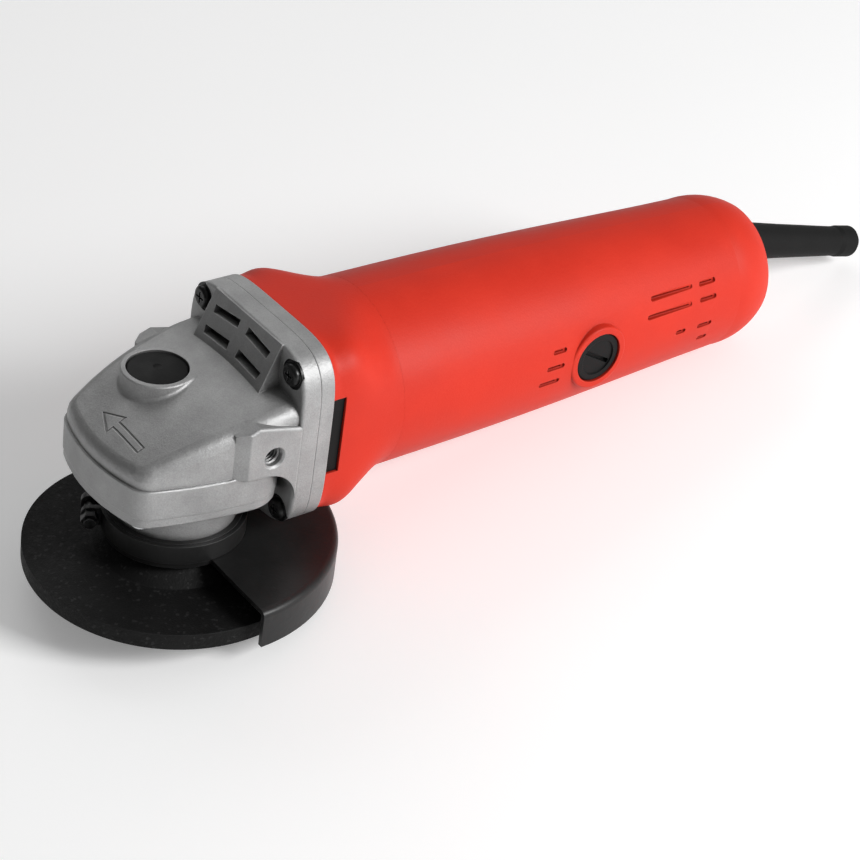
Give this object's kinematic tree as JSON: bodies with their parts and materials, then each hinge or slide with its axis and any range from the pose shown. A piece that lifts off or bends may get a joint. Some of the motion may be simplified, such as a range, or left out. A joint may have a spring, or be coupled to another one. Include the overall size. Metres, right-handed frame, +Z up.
{
  "type": "angle grinder",
  "caption": "Small angle grinder: cast gear head with wheel guard and grinding disc, tapering plastic motor housing, slide switch and cord guard.",
  "frame": {"origin": "on the spindle axis, in the outer face of the lock nut", "axes": "+Z up along the spindle away from the disc, +X from the spindle towards the tail, +Y towards the slide switch side"},
  "size_m": [0.3694, 0.112, 0.0898],
  "materials": {
    "cast_aluminium": "blasted die casting, satin",
    "black_screw": "blackened steel, semi-gloss",
    "zinc_steel": "bright zinc plated",
    "steel": "turned and ground steel",
    "rubber": "matt rubber",
    "bearing_steel": "ground and polished",
    "gear_steel": "machined case-hardened steel",
    "disc_abrasive": "bonded abrasive, rough",
    "guard_paint": "black powder coat, semi-gloss",
    "black_plastic": "satin moulded plastic",
    "red_plastic": "fine grained satin nylon",
    "lamination": "stacked sheet edges",
    "copper": "enamelled and bare copper",
    "fan_plastic": "glass filled nylon",
    "brass": "stamped brass",
    "carbon": "pressed carbon",
    "capacitor_case": "potted case",
    "wire_insulation": "soft insulation"
  },
  "bodies": {
    "housing": {"gear_housing": "cast_aluminium", "gear_housing_cover": "cast_aluminium", "bearing_box": "cast_aluminium", "flange_screws": "black_screw", "bearing_box_screws": "zinc_steel", "bearing_retainer": "steel", "spindle_seal": "rubber", "needle_bearing": "bearing_steel", "spindle_bearing_outer": "bearing_steel", "front_bearing_outer": "bearing_steel", "rear_bearing_outer": "bearing_steel", "rear_bearing_sleeve": "rubber", "lock_spring": "steel", "motor_housing": "red_plastic", "rear_cover": "red_plastic", "rear_cover_screws": "black_screw", "field_core": "lamination", "field_coils": "copper", "field_screws": "zinc_steel", "air_baffle": "black_plastic", "brush_holders": "brass", "carbon_brushes": "carbon", "brush_springs": "steel", "brush_caps": "black_plastic", "cord_guard": "rubber", "cord_clamp": "black_plastic", "cord_clamp_screws": "zinc_steel", "switch_body": "black_plastic", "capacitor": "capacitor_case", "motor_leads": "wire_insulation"},
    "armature": {"armature_shaft": "steel", "armature_core": "lamination", "armature_windings": "copper", "commutator": "copper", "fan": "fan_plastic", "bevel_pinion": "gear_steel", "pinion_nut": "zinc_steel", "front_bearing_inner": "bearing_steel", "rear_bearing_inner": "bearing_steel"},
    "spindle": {"spindle": "steel", "bevel_gear": "gear_steel", "gear_key": "steel", "gear_circlip": "black_screw", "spindle_bearing_inner": "bearing_steel", "inner_flange": "zinc_steel", "grinding_disc": "disc_abrasive", "lock_nut": "black_screw"},
    "guard": {"wheel_guard": "guard_paint", "guard_clamp": "guard_paint", "guard_clamp_screw": "black_screw", "guard_clamp_nut": "black_screw"},
    "lock_button": {"lock_pin": "steel", "lock_cap": "black_plastic"},
    "switch_slide": {"switch_knob": "black_plastic", "switch_rod": "black_plastic"}
  },
  "joints": [
    {"name": "spindle_spin", "type": "hinge", "parent": "housing", "child": "spindle", "pos_m": [0, 0, 0], "axis": [0, 0, 1], "continuous": true},
    {"name": "armature_spin", "type": "hinge", "parent": "housing", "child": "armature", "pos_m": [0, 0, 0.055], "axis": [1, 0, 0], "continuous": true},
    {"name": "guard_turn", "type": "hinge", "parent": "housing", "child": "guard", "pos_m": [0, 0, 0.0174], "axis": [0, 0, 1], "range_deg": [-90, 90]},
    {"name": "lock_press", "type": "slide", "parent": "housing", "child": "lock_button", "axis": [0, 0, -1], "range_m": [0, 0.005], "stiffness_N_per_m": 400, "springref_m": -0.005, "deforming": ["lock_spring"]},
    {"name": "switch_slide", "type": "slide", "parent": "housing", "child": "switch_slide", "axis": [-1, 0, 0], "range_m": [0, 0.006]}
  ],
  "couplings": [
    {"joint": "armature_spin", "follows": "spindle_spin", "ratio": 3.3333}
  ]
}
